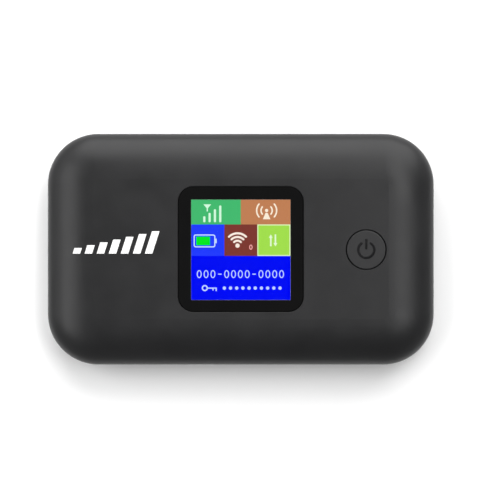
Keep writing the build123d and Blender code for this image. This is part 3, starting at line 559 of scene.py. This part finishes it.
# battery outline with its charge
CELL = (0.6, 8.7, 6.05, 11.95)
CELL_LINE = 0.28
CELL_R = (0.55, 0.3)
CELL_TIP = (6.07, 9.75, 6.38, 10.9)
CHARGE = (1.28, 9.25, 4.7, 11.4)

cell_inside = (CELL[0] + CELL_LINE, CELL[1] + CELL_LINE, CELL[2] - CELL_LINE, CELL[3] - CELL_LINE)
cell_loops = [rounded(*CELL, CELL_R[0]), rounded(*cell_inside, CELL_R[1]), tile(*CELL_TIP)]
patch("glyph_battery", cell_loops, rgb(206, 228, 255), 1)
patch("glyph_charge", [tile(*CHARGE)], rgb(6, 237, 34), 1)

# wireless waves over a dot, and how many are connected
WIRELESS = (11.6, 11.5)
WIRELESS_DOT_R = 0.55
WIRELESS_WAVES = (1.22, 2.15, 3.08)
WIRELESS_WAVE_W = 0.52
WIRELESS_TURN = (-134, -46)
COUNT = (14.95, 11.9)
COUNT_OUTSIDE = (0.42, 0.64)
COUNT_INSIDE = (0.2, 0.42)

wireless = [disc(*WIRELESS, WIRELESS_DOT_R)]
wireless += [band(*WIRELESS, radius, WIRELESS_WAVE_W, *WIRELESS_TURN) for radius in WIRELESS_WAVES]
patch("glyph_wireless", wireless, rgb(255, 240, 228), 1)
patch("glyph_count", [oval(*COUNT, *COUNT_OUTSIDE), oval(*COUNT, *COUNT_INSIDE)], rgb(255, 180, 178), 1)

# traffic arrows in a pale frame
FRAME_LINE = 0.26
ARROWS_X = (19.95, 21.1)
ARROWS_Y = (8.7, 11.7)
ARROW_HALF = 0.2
HEAD_HALF = 0.52
HEAD_LENGTH = 0.85

patch("glyph_traffic_frame", [
    tile(2 * THIRD, ROW_1, WIDE, ROW_2),
    tile(2 * THIRD + FRAME_LINE, ROW_1 + FRAME_LINE, WIDE - FRAME_LINE, ROW_2 - FRAME_LINE),
], rgb(226, 250, 190), 1)


def arrow(x, tail_y, tip_y):
    """An arrow along y, from its tail to its tip."""
    head = tip_y - math.copysign(HEAD_LENGTH, tip_y - tail_y)
    return [
        (x - ARROW_HALF, tail_y), (x + ARROW_HALF, tail_y), (x + ARROW_HALF, head), (x + HEAD_HALF, head),
        (x, tip_y), (x - HEAD_HALF, head), (x - ARROW_HALF, head),
    ]


arrows = [arrow(ARROWS_X[0], ARROWS_Y[1], ARROWS_Y[0]), arrow(ARROWS_X[1], *ARROWS_Y)]
patch("glyph_traffic", arrows, rgb(232, 255, 214), 1)

# two rows for the network: zeros with dashes, and a key with a row of dots
PALE_BLUE = rgb(196, 214, 255)
ROW_A, ROW_B = 18.65, 22.15
ZERO_PATTERN = "000-0000-0000"
ZEROS_X = 2.0
ZERO_PITCH = 1.72
ZERO_OUTSIDE = (0.62, 1.0)
ZERO_INSIDE = (0.38, 0.76)
DASH_HALF = (0.45, 0.12)

zeros = []
for i, mark in enumerate(ZERO_PATTERN):
    x = ZEROS_X + i * ZERO_PITCH
    if mark == "0":
        zeros += [oval(x, ROW_A, *ZERO_OUTSIDE), oval(x, ROW_A, *ZERO_INSIDE)]
    else:
        zeros.append(tile(x - DASH_HALF[0], ROW_A - DASH_HALF[1], x + DASH_HALF[0], ROW_A + DASH_HALF[1]))
patch("glyph_network", zeros, PALE_BLUE, 1)

KEY_X = 3.4
KEY_BOW_R = (0.78, 0.44)
KEY_SHAFT = (  # from the middle of its bow: a bar with two teeth
    (0.8, -0.14), (3.0, -0.14), (3.0, 0.75), (2.7, 0.75), (2.7, 0.14),
    (2.2, 0.14), (2.2, 0.6), (1.9, 0.6), (1.9, 0.14), (0.8, 0.14),
)
DOTS = 10
DOTS_X = 8.3
DOT_PITCH = 1.55
DOT_R = 0.42

key = [disc(KEY_X, ROW_B, radius) for radius in KEY_BOW_R]
key.append([(KEY_X + x, ROW_B + y) for x, y in KEY_SHAFT])
dots = [disc(DOTS_X + DOT_PITCH * i, ROW_B, DOT_R) for i in range(DOTS)]
patch("glyph_key", key + dots, PALE_BLUE, 1)


# ---- The printed mark --------------------------------------------------------------------------
# Seven slanted bars of white ink that rise to the right, in mm from the middle of the case.
MARK_X = (-42.1, -19.2)
MARK_Y = -1.1
MARK_BARS = 7
MARK_SLANT = 0.32
MARK_HEIGHTS = (1.4, 5.6)
MARK_BAR = 0.62  # share of the pitch that is ink
INK_T = 0.018 * MM
INK_CELL = 0.35  # about how far apart the points of a bar are
ABOVE_COVER = 1.0  # from how high a place on the cover is looked for, m

ink = Surface("white_ink", Specular_IOR_Level=0.3)
wear = ink.remap(ink.noise(0.5, detail=3.0), 0, 1)
ink.set("Base Color", ink.mix(wear, rgb(226, 226, 224), rgb(244, 244, 243)))
ink.set("Roughness", ink.remap(ink.noise(1.2), 0.45, 0.6))
ink.bump(ink.noise(0.25), 0.004)

cover = nodes["front_cover"].data
cover_tree = BVHTree.FromPolygons([v.co for v in cover.vertices], [p.vertices for p in cover.polygons])


def lay_on_cover(x, y):
    """The height of the front cover's outside at a place."""
    return cover_tree.ray_cast(Vector((x, y, ABOVE_COVER)), Vector((0, 0, -1)))[0].z


def ink_bar(x0, x1, y0, tall, vertices, faces):
    """Adds a slanted bar of ink: a grid of points just over the cover, another just in it, and sides."""
    columns = max(2, round((x1 - x0) / INK_CELL))
    rows = max(3, round(tall / INK_CELL))
    first = len(vertices)
    for level in (1, -1):
        for j in range(rows + 1):
            for i in range(columns + 1):
                y = y0 + tall * j / rows
                x = x0 + (x1 - x0) * i / columns + MARK_SLANT * (y - y0)
                x, y = x * MM, y * MM
                vertices.append((x, y, lay_on_cover(x, y) + level * INK_T))
    across = columns + 1
    layer = across * (rows + 1)

    def at(i, j, low):
        return first + low * layer + j * across + i

    for j in range(rows):
        for i in range(columns):
            faces.append((at(i, j, 0), at(i + 1, j, 0), at(i + 1, j + 1, 0), at(i, j + 1, 0)))
            faces.append((at(i, j + 1, 1), at(i + 1, j + 1, 1), at(i + 1, j, 1), at(i, j, 1)))
    for i in range(columns):
        faces.append((at(i, 0, 1), at(i + 1, 0, 1), at(i + 1, 0, 0), at(i, 0, 0)))
        faces.append((at(i, rows, 0), at(i + 1, rows, 0), at(i + 1, rows, 1), at(i, rows, 1)))
    for j in range(rows):
        faces.append((at(0, j, 0), at(0, j + 1, 0), at(0, j + 1, 1), at(0, j, 1)))
        faces.append((at(columns, j, 1), at(columns, j + 1, 1), at(columns, j + 1, 0), at(columns, j, 0)))


mark_vertices, mark_faces = [], []
lean = MARK_SLANT * MARK_HEIGHTS[1]
pitch = (MARK_X[1] - MARK_X[0] - lean) / MARK_BARS
for i in range(MARK_BARS):
    left = MARK_X[0] + i * pitch
    tall = MARK_HEIGHTS[0] + (MARK_HEIGHTS[1] - MARK_HEIGHTS[0]) * i / (MARK_BARS - 1)
    ink_bar(left, left + pitch * MARK_BAR, MARK_Y, tall, mark_vertices, mark_faces)
mark_mesh = bpy.data.meshes.new("printed_mark")
mark_mesh.from_pydata(mark_vertices, [], mark_faces)
piece("printed_mark", mark_mesh, ink, "housing")


# ---- Floor -------------------------------------------------------------------------------------
FLOOR_HALF = 3.0
FLOOR_CELLS = 24

floor_surface = Surface("floor_white", Specular_IOR_Level=0.2)
paper = floor_surface.mix(floor_surface.noise(400.0), (0.93, 0.93, 0.93, 1), (0.95, 0.95, 0.95, 1))
floor_surface.set("Base Color", paper)
floor_surface.set("Roughness", floor_surface.remap(floor_surface.noise(60.0), 0.65, 0.75))
floor_mesh = bpy.data.meshes.new("floor")
steps = [-FLOOR_HALF + 2 * FLOOR_HALF * i / FLOOR_CELLS for i in range(FLOOR_CELLS + 1)]
floor_mesh.from_pydata(
    [(x, y, 0.0) for y in steps for x in steps],
    [],
    [
        (j * len(steps) + i, j * len(steps) + i + 1, (j + 1) * len(steps) + i + 1, (j + 1) * len(steps) + i)
        for j in range(FLOOR_CELLS)
        for i in range(FLOOR_CELLS)
    ],
)
floor_mesh.materials.append(floor_surface.material)
floor = bpy.data.objects.new("floor", floor_mesh)
scene.collection.objects.link(floor)
